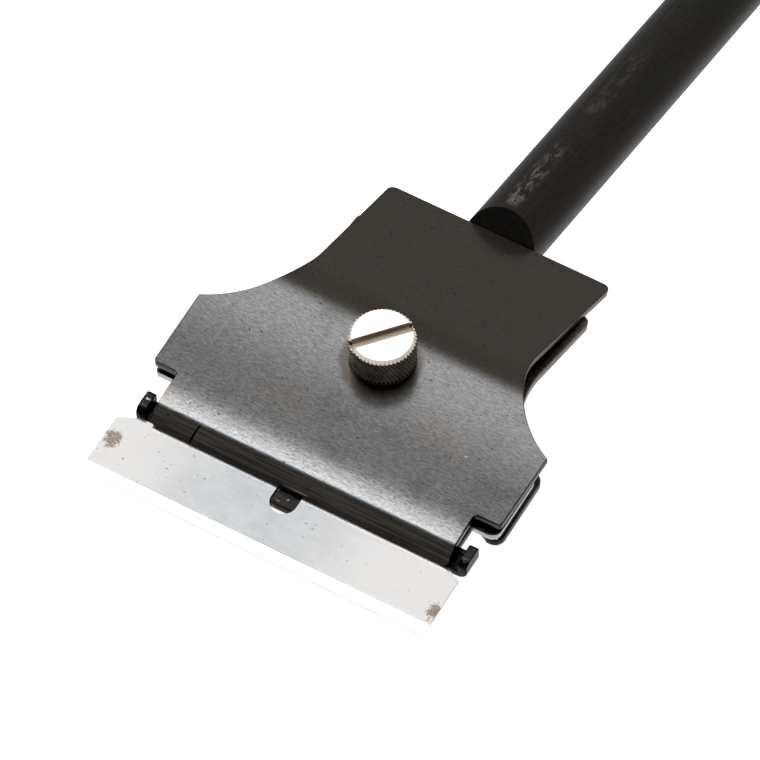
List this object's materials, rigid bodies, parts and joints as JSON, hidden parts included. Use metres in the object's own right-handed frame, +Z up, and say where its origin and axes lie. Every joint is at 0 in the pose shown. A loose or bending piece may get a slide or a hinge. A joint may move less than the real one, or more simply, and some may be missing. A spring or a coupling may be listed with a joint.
{
  "type": "algae scraper",
  "caption": "Long-handled blade scraper for aquarium glass: a clamp plate and thumb screw hold a thin blade against two lugs on a base plate at the end of a rod.",
  "frame": {"origin": "under the middle of the tool's length, at the height of the grip's lowest point", "axes": "+Y runs back along the rod from the blade to the hanging eye, +X to the right, +Z up, on the clamp plate's side"},
  "size_m": [0.0404, 0.46, 0.022],
  "materials": {
    "rod_steel": "black oxide, satin, scuffed near the head",
    "blued_sheet": "blued and brushed across",
    "blade_steel": "bright, with rust spots",
    "nickel_plate": "nickel plate, knurled side",
    "dark_washer": "black oxide",
    "brass_bush": "turned",
    "zinc_steel": "zinc plate",
    "rivet_steel": "black oxide, worn",
    "grip_plastic": "fine-grained soft plastic",
    "cap_plastic": "moulded, satin"
  },
  "bodies": {
    "handle": {"rod": "rod_steel", "base_plate": "blued_sheet", "spacer_plate": "blued_sheet", "threaded_bush": "brass_bush", "base_rivet_front": "rivet_steel", "base_rivet_rear": "rivet_steel", "spacer_rivet_left_wing": "rivet_steel", "spacer_rivet_right_wing": "rivet_steel", "spacer_rivet_left_bridge": "rivet_steel", "spacer_rivet_right_bridge": "rivet_steel", "grip_ferrule": "zinc_steel", "grip_pin": "zinc_steel", "grip": "grip_plastic", "nut_washer": "zinc_steel", "end_nut": "zinc_steel", "end_cap": "cap_plastic"},
    "clamp": {"clamp_plate": "blued_sheet"},
    "blade": {"blade": "blade_steel"},
    "screw_carriage": {"screw_washer": "dark_washer"},
    "screw": {"thumb_screw": "nickel_plate", "retaining_ring": "zinc_steel"}
  },
  "joints": [
    {"name": "screw_lift", "type": "slide", "parent": "handle", "child": "screw_carriage", "axis": [0, -0.2622, 0.965], "range_m": [0, 0.0015]},
    {"name": "screw_turn", "type": "hinge", "parent": "screw_carriage", "child": "screw", "pos_m": [0, -0.20616, 0.01168], "axis": [0, -0.2622, 0.965], "range_deg": [0, 1080]},
    {"name": "clamp_open", "type": "hinge", "parent": "handle", "child": "clamp", "pos_m": [0, -0.187, 0.01235], "axis": [-1, 0, 0], "range_deg": [0, 3.76]},
    {"name": "blade_slide", "type": "slide", "parent": "handle", "child": "blade", "axis": [0, -0.965, -0.2622], "range_m": [0, 0.012]}
  ],
  "couplings": [
    {"joint": "screw_turn", "follows": "screw_lift", "rad_per_m": 12566},
    {"joint": "clamp_open", "follows": "screw_lift", "rad_per_m": 43.63}
  ]
}
